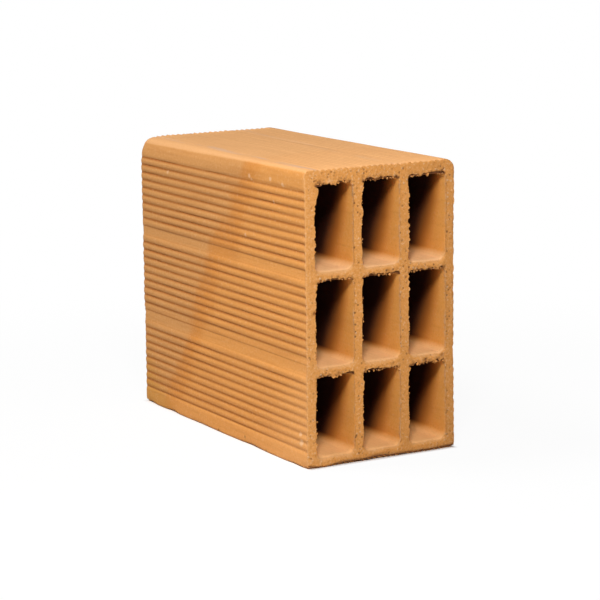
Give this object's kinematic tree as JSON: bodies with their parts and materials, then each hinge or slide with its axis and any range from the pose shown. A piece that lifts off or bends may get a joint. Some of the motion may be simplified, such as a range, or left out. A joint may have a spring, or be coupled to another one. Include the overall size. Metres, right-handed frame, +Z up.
{
  "type": "hollow clay block",
  "caption": "Extruded hollow clay block for partition walls, with level cells right through, ribbed long faces, rounded top edges and rough wire-cut ends.",
  "frame": {"origin": "middle of the underside, on the level that the block stands on", "axes": "+X across the cut end, +Y along the cells from the near cut end to the far one, +Z up through the rows of cells"},
  "size_m": [0.111, 0.232, 0.19],
  "materials": {
    "fired_clay": "matte, unglazed fired clay"
  },
  "bodies": {
    "root": {"clay_block": "fired_clay"}
  },
  "joints": []
}
